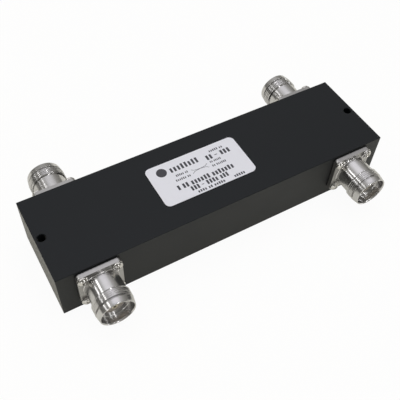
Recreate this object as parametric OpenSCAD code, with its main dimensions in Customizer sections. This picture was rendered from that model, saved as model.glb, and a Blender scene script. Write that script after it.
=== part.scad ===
// Hybrid coupler: a milled housing with two mounting holes and four flanged coaxial sockets.
// Millimetres. +X runs along the length, +Y to the rear, +Z up.
// The origin is at the middle of the underside.

/* [Housing] */
// Length of the housing block
housing_l = 194; // [184:1:220]
// Width of the housing block
housing_w = 52; // [51:1:60]
// Height of the housing block
housing_h = 31.2; // [30:0.1:36]
// Thickness of the roof above the cavity
roof_t = 3.1; // [2.6:0.1:4]
// Thickness of the two long walls
side_wall = 7.4; // [7:0.1:7.6]
// Width of the ledge that the bottom cover seats on
ledge_w = 6.2; // [6:0.1:6.6]
// Height of the cavity between its two ground planes
ground_gap = 20; // [18.4:0.1:21]
// Corner radius of the milled cavity
cavity_r = 4; // [2:0.5:5]
// Corner radius of the cover's seat
seat_r = 5; // [3:0.5:6]
// Chamfer along the outer edges
edge_chamfer = 0.2; // [0.1:0.1:0.8]

/* [Mounting holes] */
// Diameter of the two through holes
mount_hole_d = 4.4; // [3.4:0.1:4.6]
// Distance from each end to a mounting hole's centre
mount_hole_inset = 3.5; // [3.2:0.1:5]
// Metal left between a mounting hole and the cover's seat
mount_hole_wall = 2; // [1.5:0.1:3]
// Chamfer at both ends of a mounting hole
mount_hole_chamfer = 0.3; // [0.1:0.1:0.5]

/* [Bottom cover] */
// Thickness of the cover's rim
cover_t = 3.2; // [2.6:0.1:4]
// Gap all round between the cover's rim and its seat
cover_gap = 0.15; // [0.1:0.05:0.3]
// Gap all round between the cover's raised land and the cavity
land_gap = 0.3; // [0.1:0.05:0.5]
// Thickness of the gasket on the ledge
cover_gasket_t = 0.5; // [0.3:0.1:0.8]
// Number of cover screws along each long side
side_screw_n = 5; // [3:1:7]
// Distance from the cavity's walls to the cover screws' axes
cover_screw_inset = 2.9; // [2.8:0.05:3.1]
// Distance between the two cover screws at each end
end_screw_pitch = 24; // [18:1:26]
// Distance kept along X from a socket's axis to the nearest cover screw
screw_keep = 18; // [16:1:24]

/* [Screws] */
// Thread diameter of all screws
screw_d = 3; // [2.6:0.1:3.2]
// Whole length of a countersunk cover screw
cover_screw_len = 9; // [8:0.5:10]
// Head diameter of a countersunk cover screw
csk_head_d = 5.5; // [5.2:0.1:5.6]
// Distance that a countersunk head sits below the underside
csk_sink = 0.1; // [0.05:0.05:0.3]
// Length under the head of a flange screw
flange_screw_len = 8; // [6:0.5:8.5]
// Head diameter of a domed flange screw
pan_head_d = 5.6; // [5.2:0.1:5.8]
// Head height of a domed flange screw
pan_head_h = 2.4; // [2:0.1:2.8]
// Height of the straight edge below a flange screw's dome
pan_edge_h = 0.8; // [0.4:0.1:1.1]
// Width across a cross recess
recess_w = 3; // [2.4:0.1:3.2]
// Thickness of a cross recess's arms
recess_t = 0.8; // [0.6:0.1:1]
// Depth of a cross recess
recess_depth = 1.1; // [0.8:0.1:1.3]
// Radial gap between a screw and a plain hole
screw_gap = 0.2; // [0.1:0.05:0.3]
// Radial gap between a screw and its tapped hole
tap_gap = 0.03; // [0.02:0.01:0.06]
// Depth of a tapped hole beyond its screw's end
tap_extra = 0.6; // [0.4:0.1:0.8]

/* [Flange] */
// Distance from each end of the housing to the sockets' axes
port_inset = 20.9; // [19.5:0.1:24]
// Width and height of the square flange
flange_w = 23.4; // [21:0.1:25.6]
// Thickness of the flange
flange_t = 2.5; // [2:0.1:3]
// Corner radius of the flange
flange_r = 2; // [1:0.1:3]
// Distance from the flange's edges to a flange screw's axis
flange_edge = 2.8; // [2.5:0.1:3]
// Gap between a flange screw's head and the neck's fillet
head_gap = 0.03; // [0.01:0.01:0.1]
// Thickness of the gasket behind the flange
gasket_t = 0.5; // [0.3:0.1:0.8]

/* [Socket barrel] */
// Distance from the flange's edges to the crest of the coupling thread
thread_margin = 1.7; // [1.5:0.1:2]
// Length of the coupling thread
thread_len = 4.6; // [4:0.1:7]
// Chamfer at the thread's rear end
thread_chamfer = 0.4; // [0.2:0.1:0.6]
// Step from the smooth neck up to the thread's crest
neck_step = 0.8; // [0.5:0.1:1]
// Length of the smooth neck in front of the flange
neck_len = 9.9; // [8:0.1:12]
// Radius of the fillet between flange and neck
neck_fillet = 0.5; // [0.3:0.1:0.8]
// Depth of the groove in front of the thread
groove_depth = 1.1; // [0.6:0.1:1.2]
// Width of the groove in front of the thread
groove_len = 0.9; // [0.6:0.1:1.4]
// Step from the collar's rear end up to the thread's crest
collar_step = 0.2; // [0.1:0.1:0.4]
// Length of the tapered collar
collar_len = 2.6; // [1.6:0.1:3]
// Fall of the collar's radius towards the lip
collar_taper = 0.4; // [0.1:0.05:0.5]
// Step from the thin front lip up to the collar's front end
lip_step = 0.1; // [0.05:0.05:0.3]
// Length of the thin front lip
lip_len = 0.7; // [0.5:0.1:1]
// Chamfer on the collar's rear edge and on the lip's outer edge
rim_chamfer = 0.2; // [0.1:0.05:0.3]

/* [Socket mouth] */
// Wall between the mouth and the thread's crest
mouth_wall = 1.6; // [1.5:0.1:1.9]
// Depth of the mouth's flat floor behind the front lip
mouth_depth = 4.6; // [4.2:0.1:6]
// Radius between the mouth's wall and its floor
mouth_fillet = 0.4; // [0.2:0.1:0.6]
// Chamfer on the lip's inner edge
mouth_chamfer = 0.35; // [0.2:0.05:0.45]
// Width of the flat floor between the mouth's wall and the bore
floor_w = 3.4; // [3.2:0.1:3.6]
// Depth of the insulator's face behind the front lip
insulator_recess = 4.8; // [4.4:0.1:6]
// Wall of the spigot behind the flange
spigot_wall = 1; // [0.8:0.1:1.3]
// Length of the spigot behind the flange
spigot_len = 4.5; // [3.6:0.1:5]
// Radial gap between the spigot and the housing
spigot_gap = 0.1; // [0.05:0.05:0.2]
// Distance from the spigot's end to the step that it leaves in the housing
spigot_end_gap = 0.2; // [0.1:0.05:0.3]
// Width of the shoulder at the insulator's rear
step_w = 0.5; // [0.3:0.1:0.8]
// Length of the insulator's rear step
step_len = 6; // [5:0.1:7]

/* [Centre contact] */
// Depth of the centre contact's tip behind the front lip
contact_recess = 3.9; // [3.6:0.1:4.6]
// Radial gap round the insulator
insulator_gap = 0.03; // [0.02:0.01:0.06]
// Outer diameter of the centre contact's socket
contact_d = 3; // [2.8:0.1:3.4]
// Length of the centre contact's socket
contact_len = 10.5; // [9:0.1:12]
// Bore of the centre contact's socket
contact_bore_d = 1.6; // [1.4:0.1:1.9]
// Depth of the bore in the centre contact
contact_bore_len = 6; // [5:0.1:7]
// Width of the four slots in the centre contact
contact_slot_w = 0.3; // [0.2:0.05:0.4]
// Length of the four slots in the centre contact
contact_slot_len = 4.5; // [3:0.1:5]
// Diameter of the centre contact's tail
tail_d = 2.6; // [2.4:0.1:2.8]
// Distance that the tail reaches into the cavity
tail_reach = 4; // [3.4:0.1:5]
// Depth of the tail's slot beyond the board's long edge
fork_extra = 0.6; // [0.3:0.1:0.9]
// Gap between the tail's slot and the board with its lines
solder_gap = 0.05; // [0.03:0.01:0.1]

/* [Coupled lines] */
// Thickness of the board between the two lines
board_t = 0.8; // [0.5:0.05:0.9]
// Gap between the board's long edges and the cavity
board_gap = 1; // [0.6:0.1:1.2]
// Distance that the board runs past the sockets' axes
board_over = 4; // [3:0.1:5]
// Thickness of each line
line_t = 0.3; // [0.2:0.05:0.4]
// Width of a line in its outer sections
outer_line_w = 7; // [5:0.1:8]
// Width of a line in its middle section
mid_line_w = 5.2; // [4:0.1:7]
// Width of the stub that leads to a socket
stub_w = 3; // [2:0.1:4]
// Distance from a stub's end to the board's long edge
stub_edge = 0.4; // [0.2:0.1:1]

/* [Board posts] */
// Diameter of a post
post_d = 6; // [5:0.1:6.4]
// Diameter of the pin that joins two posts through the board
post_pin_d = 2.8; // [2:0.1:3]
// Distance that the pin goes into the lower post
post_pin_len = 1.2; // [0.8:0.1:1.6]
// Gap round the pin and at its end
post_gap = 0.1; // [0.05:0.05:0.2]
// Distance from the board's long edge to a post's axis
post_inset = 4.5; // [4:0.1:4.7]
// Distance along X from a socket's axis to the nearest post
post_keep = 16; // [12:1:20]
// Gap between the posts and the lines' outer sections
post_line_gap = 0.6; // [0.2:0.1:1]

/* [Label] */
// Length of the label
label_l = 54.3; // [40:0.1:70]
// Width of the label
label_w = 27.3; // [18:0.1:32]
// Thickness of the label
label_t = 0.2; // [0.1:0.05:0.4]
// Corner radius of the label
label_r = 3; // [1:0.1:4]
// Place of the label's centre along X
label_x = -4.4; // [-20:0.1:20]
// Place of the label's centre along Y
label_y = 0.6; // [-4:0.1:4]

/* [Hidden] */
$fn = 96;
// Small overlap, and the overshoot of cutting shapes
eps = 0.01;
cut = 1;

// Each socket as its side along X and along Y
FRONT_LEFT = [-1, -1];
FRONT_RIGHT = [1, -1];
REAR_LEFT = [-1, 1];
REAR_RIGHT = [1, 1];
PORTS = [FRONT_LEFT, FRONT_RIGHT, REAR_LEFT, REAR_RIGHT];

// Places in the housing
port_x = housing_l / 2 - port_inset;
port_z = housing_h - roof_t - ground_gap / 2;
roof_z = housing_h - roof_t;
land_z = roof_z - ground_gap;
ledge_z = cover_t + cover_gasket_t;
mount_x = housing_l / 2 - mount_hole_inset;
seat_l = 2 * (mount_x - mount_hole_d / 2 - mount_hole_wall);
cavity_l = seat_l - 2 * ledge_w;
cavity_w = housing_w - 2 * side_wall;
seat_w = cavity_w + 2 * ledge_w;

// Radii of a socket, from the thread's crest inwards
thread_r = flange_w / 2 - thread_margin;
neck_r = thread_r - neck_step;
groove_r = thread_r - groove_depth;
collar_r = thread_r - collar_step;
collar_front_r = collar_r - collar_taper;
lip_r = collar_front_r - lip_step;
mouth_r = thread_r - mouth_wall;
line_r = mouth_r - floor_w;
step_r = line_r + step_w;
spigot_r = step_r + spigot_wall;

// Places of the flange screws, and the fillet that their heads leave room for
flange_pitch = flange_w - 2 * flange_edge;
head_reach = flange_pitch / sqrt(2) - pan_head_d / 2;
fillet_r = min(neck_fillet, head_reach - head_gap - neck_r);

// Places along a socket's axis, counted outwards from the back of its flange
neck_end = flange_t + neck_len;
thread_end = neck_end + thread_len;
groove_end = thread_end + groove_len;
collar_end = groove_end + collar_len;
lip_end = collar_end + lip_len;
mouth_floor = lip_end - mouth_depth;
contact_tip = lip_end - contact_recess;
insulator_face = lip_end - insulator_recess;
step_end = step_len - spigot_len;
inner_wall = -gasket_t - side_wall;
tail_end = inner_wall - tail_reach;

// Screws and their holes
screw_r = screw_d / 2;
clear_r = screw_r + screw_gap;
tap_r = screw_r + tap_gap;
csk_h = (csk_head_d - screw_d) / 2;
flange_tap_len = flange_screw_len - flange_t - gasket_t + tap_extra;
cover_tap_top = csk_sink + cover_screw_len + tap_extra;
side_screw_x = port_x - screw_keep;
side_screw_y = cavity_w / 2 + cover_screw_inset;
end_screw_x = cavity_l / 2 + cover_screw_inset;
side_screw_step = 2 * side_screw_x / (side_screw_n - 1);
SIDE_SCREWS = [for (i = [0 : side_screw_n - 1], s = [-1, 1])
    [i * side_screw_step - side_screw_x, s * side_screw_y]];
END_SCREWS = [for (e = [-1, 1], s = [-1, 1]) [e * end_screw_x, s * end_screw_pitch / 2]];
COVER_SCREWS = concat(SIDE_SCREWS, END_SCREWS);

// Coupled lines on their board
board_l = 2 * (port_x + board_over);
board_w = cavity_w - 2 * board_gap;
section_l = 2 * port_x / 3;
stub_start = board_w / 2 - stub_edge;
fork_h = board_t + 2 * line_t + 2 * solder_gap;
fork_len = tail_reach - board_gap + fork_extra;
post_y = board_w / 2 - post_inset;
lane = post_y - post_d / 2 - post_line_gap - outer_line_w / 2;
POSTS = [for (x = [-1, 0, 1], y = [-1, 1]) [x * (port_x - post_keep), y * post_y]];

// Flat outlines

module rounded(l, w, r) {
    square([l - 2 * r, w], center = true);
    square([l, w - 2 * r], center = true);
    for (x = [-1, 1], y = [-1, 1])
        translate([x * (l / 2 - r), y * (w / 2 - r)]) circle(r);
}

module chamfered(l, w, c) {
    polygon([
        [l / 2, w / 2 - c], [l / 2 - c, w / 2], [c - l / 2, w / 2], [-l / 2, w / 2 - c],
        [-l / 2, c - w / 2], [c - l / 2, -w / 2], [l / 2 - c, -w / 2], [l / 2, c - w / 2]
    ]);
}

// A block on the ground plane with all twelve edges chamfered
module chamfered_block(l, w, h, c) {
    intersection() {
        linear_extrude(h) chamfered(l, w, c);
        translate([0, 0, h / 2]) rotate([90, 0, 0]) linear_extrude(w, center = true) chamfered(l, h, c);
        translate([0, 0, h / 2]) rotate([90, 0, 90]) linear_extrude(l, center = true) chamfered(w, h, c);
    }
}

// Puts a socket's pieces in place: local Z points out of the housing, and Z = 0 is the flange's back
module at_port(port) {
    translate([port.x * port_x, port.y * (housing_w / 2 + gasket_t), port_z])
        rotate([90, 0, port.y > 0 ? 180 : 0])
            children();
}

// Repeats its children at the four screw places of a flange
module at_flange_screws() {
    for (x = [-1, 1], y = [-1, 1])
        translate([x * flange_pitch / 2, y * flange_pitch / 2, 0]) children();
}

// Screws, with the head's top at Z = 0 and the shank towards -Z

module cross_recess() {
    for (a = [0, 90])
        rotate(a) translate([0, 0, -recess_depth / 2 + eps / 2])
            cube([recess_w, recess_t, recess_depth + eps], center = true);
}

module countersunk_screw() {
    difference() {
        union() {
            translate([0, 0, -csk_h]) cylinder(h = csk_h, r1 = screw_r, r2 = csk_head_d / 2);
            translate([0, 0, -cover_screw_len]) cylinder(h = cover_screw_len, r = screw_r);
        }
        cross_recess();
    }
}

module pan_screw() {
    dome_h = pan_head_h - pan_edge_h;
    dome_r = (pow(pan_head_d / 2, 2) + pow(dome_h, 2)) / (2 * dome_h);
    difference() {
        union() {
            intersection() {
                translate([0, 0, -pan_head_h]) cylinder(h = pan_head_h, r = pan_head_d / 2);
                translate([0, 0, -dome_r]) sphere(dome_r);
            }
            translate([0, 0, -pan_head_h - flange_screw_len])
                cylinder(h = flange_screw_len + eps, r = screw_r);
        }
        cross_recess();
    }
}

// Housing and what closes it

module housing() {
    color("#2c2d30")
        difference() {
            chamfered_block(housing_l, housing_w, housing_h, edge_chamfer);
            translate([0, 0, -eps]) linear_extrude(roof_z + eps) rounded(cavity_l, cavity_w, cavity_r);
            translate([0, 0, -eps]) linear_extrude(ledge_z + eps) rounded(seat_l, seat_w, seat_r);
            for (x = [-1, 1]) translate([x * mount_x, 0, 0]) mount_hole();
            for (p = PORTS) at_port(p) port_holes();
            for (s = COVER_SCREWS) translate([s.x, s.y, 0]) cylinder(h = cover_tap_top, r = tap_r);
        }
}

module mount_hole() {
    c = mount_hole_chamfer;
    r = mount_hole_d / 2;
    translate([0, 0, -eps]) cylinder(h = housing_h + 2 * eps, r = r);
    translate([0, 0, -eps]) cylinder(h = c, r1 = r + c, r2 = r);
    translate([0, 0, housing_h - c + eps]) cylinder(h = c, r1 = r, r2 = r + c);
}

// The holes that one socket needs in the housing's wall
module port_holes() {
    spigot_bore_len = spigot_len + spigot_end_gap;
    translate([0, 0, -spigot_bore_len]) cylinder(h = spigot_bore_len, r = spigot_r + spigot_gap);
    translate([0, 0, inner_wall - eps]) cylinder(h = side_wall, r = line_r);
    at_flange_screws()
        translate([0, 0, -gasket_t - flange_tap_len]) cylinder(h = flange_tap_len + eps, r = tap_r);
}

module bottom_cover() {
    color("#303133")
        difference() {
            union() {
                linear_extrude(cover_t) rounded(seat_l - 2 * cover_gap, seat_w - 2 * cover_gap, seat_r);
                linear_extrude(land_z) rounded(cavity_l - 2 * land_gap, cavity_w - 2 * land_gap, cavity_r);
            }
            for (s = COVER_SCREWS) translate([s.x, s.y, csk_sink]) cover_screw_hole();
        }
}

// A plain hole with a countersink that the screw's head fills up to the sink
module cover_screw_hole() {
    head_r = csk_head_d / 2;
    translate([0, 0, -csk_sink - eps]) cylinder(h = cover_t + 2 * eps, r = clear_r);
    cylinder(h = head_r - clear_r, r1 = head_r, r2 = clear_r);
    translate([0, 0, -csk_sink - eps]) cylinder(h = csk_sink + 2 * eps, r = head_r);
}

module cover_gasket() {
    color("#1b1b1c")
        translate([0, 0, cover_t])
            linear_extrude(cover_gasket_t)
                difference() {
                    rounded(seat_l - 2 * cover_gap, seat_w - 2 * cover_gap, seat_r);
                    rounded(cavity_l, cavity_w, cavity_r);
                    for (s = COVER_SCREWS) translate([s.x, s.y]) circle(clear_r);
                }
}

module cover_screws() {
    color("#3a3a3c")
        for (s = COVER_SCREWS) translate([s.x, s.y, csk_sink]) mirror([0, 0, 1]) countersunk_screw();
}

module label() {
    color("#dcdce0")
        translate([label_x, label_y, housing_h]) linear_extrude(label_t) rounded(label_l, label_w, label_r);
}

// Coupled lines between their ground planes

module coupler_board() {
    color("#d9d2b8")
        translate([0, 0, port_z - board_t / 2])
            linear_extrude(board_t)
                difference() {
                    square([board_l, board_w], center = true);
                    for (p = POSTS) translate(p) circle(post_pin_d / 2 + post_gap);
                }
}

// A rectangle between two corners
module bar(x0, x1, y0, y1) {
    translate([x0, y0]) square([x1 - x0, y1 - y0]);
}

// The line from the front left socket to the rear right one, seen from above
module line_outline() {
    for (a = [0, 180])
        rotate(a) {
            bar(-port_x - stub_w / 2, -port_x + stub_w / 2, -stub_start, -lane);
            bar(-port_x - stub_w / 2, -section_l / 2, -lane - outer_line_w / 2, -lane + outer_line_w / 2);
            bar(-section_l / 2 - stub_w, -section_l / 2, -lane, mid_line_w / 2);
            bar(-section_l / 2 - stub_w, 0, -mid_line_w / 2, mid_line_w / 2);
        }
}

module upper_line() {
    color("#c9c6bd")
        translate([0, 0, port_z + board_t / 2]) linear_extrude(line_t) line_outline();
}

module lower_line() {
    color("#c9c6bd")
        translate([0, 0, port_z - board_t / 2 - line_t])
            linear_extrude(line_t) mirror([0, 1]) line_outline();
}

module upper_posts() {
    foot = port_z + board_t / 2;
    pin_end = port_z - board_t / 2 - post_pin_len;
    color("#efeee8")
        for (p = POSTS)
            translate([p.x, p.y, 0]) {
                translate([0, 0, foot]) cylinder(h = roof_z - foot, r = post_d / 2);
                translate([0, 0, pin_end]) cylinder(h = roof_z - pin_end, r = post_pin_d / 2);
            }
}

module lower_posts() {
    top = port_z - board_t / 2;
    color("#efeee8")
        for (p = POSTS)
            translate([p.x, p.y, 0])
                difference() {
                    translate([0, 0, land_z]) cylinder(h = top - land_z, r = post_d / 2);
                    translate([0, 0, top - post_pin_len - post_gap])
                        cylinder(h = post_pin_len + post_gap + eps, r = post_pin_d / 2 + post_gap);
                }
}

// Sockets, built along local Z

// Outside of the barrel as a half section
module barrel_section() {
    fillet = [for (a = [0 : 15 : 90])
        [neck_r + fillet_r * (1 - sin(a)), flange_t + fillet_r * (1 - cos(a))]];
    polygon(concat(
        [[0, -spigot_len], [spigot_r, -spigot_len], [spigot_r, 0], [neck_r + fillet_r, 0]],
        fillet,
        [
            [neck_r, neck_end], [thread_r - thread_chamfer, neck_end], [thread_r, neck_end + thread_chamfer],
            [thread_r, thread_end], [groove_r, thread_end], [groove_r, groove_end],
            [collar_r - rim_chamfer, groove_end], [collar_r, groove_end + rim_chamfer],
            [collar_front_r, collar_end], [lip_r, collar_end],
            [lip_r, lip_end - rim_chamfer], [lip_r - rim_chamfer, lip_end], [0, lip_end]
        ]
    ));
}

// Inside of the barrel as a half section: rear step, bore, and the mouth with its flat floor
module bore_section() {
    fillet = [for (a = [0 : 15 : 90])
        [mouth_r - mouth_fillet * (1 - sin(a)), mouth_floor + mouth_fillet * (1 - cos(a))]];
    rim_r = mouth_r + mouth_chamfer;
    polygon(concat(
        [
            [0, -spigot_len - cut], [step_r, -spigot_len - cut],
            [step_r, step_end], [line_r, step_end], [line_r, mouth_floor]
        ],
        fillet,
        [[mouth_r, lip_end - mouth_chamfer], [rim_r, lip_end], [rim_r, lip_end + cut], [0, lip_end + cut]]
    ));
}

module socket(port) {
    color("#c8c6c4")
        at_port(port)
            difference() {
                union() {
                    linear_extrude(flange_t) rounded(flange_w, flange_w, flange_r);
                    rotate_extrude() barrel_section();
                }
                rotate_extrude() bore_section();
                at_flange_screws() translate([0, 0, -eps]) cylinder(h = flange_t + 2 * eps, r = clear_r);
            }
}

module insulator(port) {
    step_back = -spigot_len;
    shoulder = contact_tip - contact_len;
    color("#a59a90")
        at_port(port)
            difference() {
                union() {
                    translate([0, 0, step_back])
                        cylinder(h = step_end - step_back, r = step_r - insulator_gap);
                    translate([0, 0, step_back])
                        cylinder(h = insulator_face - step_back, r = line_r - insulator_gap);
                }
                translate([0, 0, step_back - eps])
                    cylinder(h = insulator_face - step_back, r = tail_d / 2 + insulator_gap);
                translate([0, 0, shoulder]) cylinder(h = contact_len, r = contact_d / 2 + insulator_gap);
            }
}

module contact(port) {
    shoulder = contact_tip - contact_len;
    color("#d8c9a0")
        at_port(port)
            difference() {
                union() {
                    translate([0, 0, shoulder]) cylinder(h = contact_len, r = contact_d / 2);
                    translate([0, 0, tail_end]) cylinder(h = shoulder - tail_end + eps, r = tail_d / 2);
                }
                translate([0, 0, contact_tip - contact_bore_len])
                    cylinder(h = contact_bore_len + eps, r = contact_bore_d / 2);
                for (a = [45, 135])
                    rotate(a) translate([0, 0, contact_tip - contact_slot_len / 2 + eps / 2])
                        cube([contact_d + cut, contact_slot_w, contact_slot_len + eps], center = true);
                translate([0, 0, tail_end + fork_len / 2 - eps / 2])
                    cube([tail_d + cut, fork_h, fork_len + eps], center = true);
            }
}

module flange_gasket(port) {
    color("#1b1b1c")
        at_port(port)
            translate([0, 0, -gasket_t])
                linear_extrude(gasket_t)
                    difference() {
                        rounded(flange_w, flange_w, flange_r);
                        circle(spigot_r + spigot_gap);
                        for (x = [-1, 1], y = [-1, 1])
                            translate([x * flange_pitch / 2, y * flange_pitch / 2]) circle(clear_r);
                    }
}

module flange_screws(port) {
    color("#cfcecc")
        at_port(port)
            at_flange_screws() translate([0, 0, flange_t + pan_head_h]) pan_screw();
}

housing();
bottom_cover();
cover_gasket();
cover_screws();
label();
coupler_board();
upper_line();
lower_line();
upper_posts();
lower_posts();
socket(FRONT_LEFT);  // front_left_socket
socket(FRONT_RIGHT);  // front_right_socket
socket(REAR_LEFT);  // rear_left_socket
socket(REAR_RIGHT);  // rear_right_socket
insulator(FRONT_LEFT);  // front_left_insulator
insulator(FRONT_RIGHT);  // front_right_insulator
insulator(REAR_LEFT);  // rear_left_insulator
insulator(REAR_RIGHT);  // rear_right_insulator
contact(FRONT_LEFT);  // front_left_contact
contact(FRONT_RIGHT);  // front_right_contact
contact(REAR_LEFT);  // rear_left_contact
contact(REAR_RIGHT);  // rear_right_contact
flange_gasket(FRONT_LEFT);  // front_left_gasket
flange_gasket(FRONT_RIGHT);  // front_right_gasket
flange_gasket(REAR_LEFT);  // rear_left_gasket
flange_gasket(REAR_RIGHT);  // rear_right_gasket
flange_screws(FRONT_LEFT);  // front_left_screws
flange_screws(FRONT_RIGHT);  // front_right_screws
flange_screws(REAR_LEFT);  // rear_left_screws
flange_screws(REAR_RIGHT);  // rear_right_screws
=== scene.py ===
# Looks for a hybrid coupler: a black painted housing with four plated coaxial sockets and a printed label.
# Lengths are metres, +X runs along the housing, +Y to the rear and +Z up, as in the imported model.
import math
import random

import bmesh
import bpy
from mathutils import Euler, Matrix, Vector


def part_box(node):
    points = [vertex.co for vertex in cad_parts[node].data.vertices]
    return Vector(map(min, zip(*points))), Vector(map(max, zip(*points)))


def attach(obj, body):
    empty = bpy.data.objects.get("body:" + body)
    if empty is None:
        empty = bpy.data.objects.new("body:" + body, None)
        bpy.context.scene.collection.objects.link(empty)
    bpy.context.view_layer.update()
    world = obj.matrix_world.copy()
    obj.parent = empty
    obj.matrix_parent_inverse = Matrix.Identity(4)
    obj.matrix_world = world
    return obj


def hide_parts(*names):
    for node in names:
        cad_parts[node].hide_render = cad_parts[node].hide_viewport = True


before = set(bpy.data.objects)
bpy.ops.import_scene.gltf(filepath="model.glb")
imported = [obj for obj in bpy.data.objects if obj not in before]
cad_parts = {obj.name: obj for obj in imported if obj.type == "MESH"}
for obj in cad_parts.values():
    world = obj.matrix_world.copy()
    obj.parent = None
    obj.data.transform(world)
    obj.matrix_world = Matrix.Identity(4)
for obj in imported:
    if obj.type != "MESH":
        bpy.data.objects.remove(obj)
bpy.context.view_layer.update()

MM = 0.001
UP = Vector((0, 0, 1))
IN_PLACE = Matrix.Identity(4)
SCENE = bpy.context.scene
SCENE.view_settings.view_transform = "Standard"

# Vertices closer than this become one, and edges that turn by more than this many degrees are sharp
MERGE_DISTANCE = 0.0001 * MM
SHARP_ANGLE = 35

# Each socket and its side along Y
PORTS = {"front_left": -1, "front_right": -1, "rear_left": 1, "rear_right": 1}

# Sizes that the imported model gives
SOCKET_LOW, SOCKET_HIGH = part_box("front_left_socket")
SCREWS_LOW, SCREWS_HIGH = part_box("front_left_screws")
FLANGE_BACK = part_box("front_left_gasket")[0].y
FLANGE_W = SOCKET_HIGH.x - SOCKET_LOW.x
LIP_END = FLANGE_BACK - SOCKET_LOW.y
SPIGOT_LEN = SOCKET_HIGH.y - FLANGE_BACK
HEAD_TOP = FLANGE_BACK - SCREWS_LOW.y
SCREW_END = SCREWS_HIGH.y - FLANGE_BACK

# Flange
FLANGE_T = 2.5 * MM
FLANGE_R = 2 * MM
SCREW_HOLE_R = 1.7 * MM
FLANGE_EDGE = 0.15 * MM
FLANGE_EDGE_ANGLE = 50

# Radii of the barrel
THREAD_R = FLANGE_W / 2 - 1.7 * MM
NECK_R = THREAD_R - 0.8 * MM
SEAT_R = NECK_R - 0.2 * MM
GROOVE_R = THREAD_R - 1.1 * MM
COLLAR_R = THREAD_R - 0.2 * MM
COLLAR_FRONT_R = COLLAR_R - 0.4 * MM
LIP_R = COLLAR_FRONT_R - 0.1 * MM
MOUTH_R = THREAD_R - 1.6 * MM
LINE_R = MOUTH_R - 3.4 * MM
STEP_R = LINE_R + 0.5 * MM
SPIGOT_R = STEP_R + 1 * MM

# Edges of the barrel, its fillets' angles in degrees, and the steps that it is turned in
NECK_FILLET = 0.5 * MM
MOUTH_FILLET = 0.4 * MM
FILLET_ANGLES = range(0, 91, 15)
RIM_CHAMFER = 0.2 * MM
EDGE_RADIUS = 0.08 * MM
BARREL_STEPS = 128

# Inner edge of the lip, which eases into the mouth's wall over the lead's depth
MOUTH_CHAMFER = 0.35 * MM
MOUTH_LEAD = 1.0 * MM
MOUTH_LEAD_STEPS = 5

# Places along the barrel, from the flange's back outwards
NECK_END = FLANGE_T + 9.9 * MM
THREAD_END = NECK_END + 4.6 * MM
GROOVE_END = THREAD_END + 0.9 * MM
COLLAR_END = GROOVE_END + 2.6 * MM
MOUTH_FLOOR = LIP_END - 4.6 * MM
STEP_END = 1.5 * MM

# Coupling thread of 20 mm diameter and 1 mm pitch, its ridge's foot sunk a little into the barrel
THREAD_PITCH = 1 * MM
THREAD_DEPTH = 0.25 * MM
THREAD_SINK = 0.02 * MM
CREST_W = 0.6 * MM
RIDGE_W = THREAD_PITCH * 0.96
THREAD_CHAMFER = 0.4 * MM
THREAD_LAND = 0.5 * MM
THREAD_START = NECK_END + THREAD_LAND + RIDGE_W / 2
THREAD_LEN = THREAD_END - NECK_END - 2 * THREAD_LAND - RIDGE_W
# The ridge reaches its full height in one turn divided by this
THREAD_RISE = 3

# Screws
SCREW_R = 1.5 * MM
SCREW_POINT = 0.4 * MM
SCREW_EDGE = 0.05 * MM
SCREW_EDGE_ANGLE = 35
SCREW_STEPS = 48
PAN_HEAD_R = 2.8 * MM
PAN_HEAD_H = HEAD_TOP - FLANGE_T
PAN_EDGE_H = 0.8 * MM
PAN_SCREW_LEN = FLANGE_T + SCREW_END
DOME_STEPS = 8
SCREW_PITCH = SCREWS_HIGH.x - SCREWS_LOW.x - 2 * PAN_HEAD_R
CSK_HEAD_R = 2.75 * MM
CSK_RIM = 0.1 * MM
RECESS_W = 3 * MM
RECESS_T = 0.8 * MM
RECESS_TIP = 0.35 * MM
RECESS_TAPER = 0.45
PAN_RECESS_DEPTH = 1.4 * MM
CSK_RECESS_DEPTH = 1.1 * MM

# Cover screws: the outermost places of the long rows along X and of the end pairs along Y
COVER_ROW_X = 58.1 * MM
COVER_ROW_SCREWS = 5
COVER_END_Y = 12 * MM
COVER_ROW_SEED, COVER_END_SEED = 7, 8

# Table, and the share of plain white that it shows to the camera and in reflections
TABLE_Z = -0.02 * MM
TABLE_HALF = 6
TABLE_SEEN = 0.95
TABLE_MIRRORED = 0.45
# A surface this close above the table rests on it
TOUCHING = 0.5 * MM

# Sky: the direction of its bright middle, its tones by the cosine from there, its strength, and the share
# of plain white that it shows in reflections
SKY_MIDDLE = (0.15, 0.28, 0.948)
SKY_TONES = [(0.0, "#4E4C47"), (0.45, "#76746E"), (0.72, "#9A9893"), (0.91, "#CCCBCC"), (0.98, "#F5F3F9")]
SKY_STRENGTH = 1.12
SKY_MIRRORED = 0.06
# Directions whose height is under this see a pale light from below, which only reaches the underside
SKY_BELOW = -0.01
SKY_BELOW_TONE = "#C4C4C2"

# Soft boxes: name, azimuth and elevation in degrees, distance, width, length and radiance. The strips draw
# long streaks on the barrels, and the small bright ones spots on the screws and in the mouths.
SOFTBOXES = [
    ("left_strip", -62, 50, 0.83, 0.09, 0.5, 3.6),
    ("low_left_strip", -70, 30, 0.84, 0.06, 0.5, 3.6),
    ("left_strip_end", -33, 37, 1.07, 0.2, 0.4, 0.2),
    ("overhead", 16, 63, 1.1, 0.9, 0.9, 0.15),
    ("front", 168, 27, 1.0, 0.1, 0.08, 20),
    ("front_low", 168, 11, 1.0, 0.1, 0.18, 5),
    ("front_left", -148, 8, 1.0, 0.12, 0.2, 5),
    ("front_right", 112, 8, 1.0, 0.12, 0.2, 5),
    ("mouth_left", 163, 60, 1.0, 0.08, 0.1, 15),
    ("mouth_right", 125, 47, 1.0, 0.08, 0.1, 15),
]
# Large lamp that reflections don't show: the same values and its colour
FILL = ("fill", 20, 80, 2.0, 1.5, 1.5, 1.7, "#F0F3FF")

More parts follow.
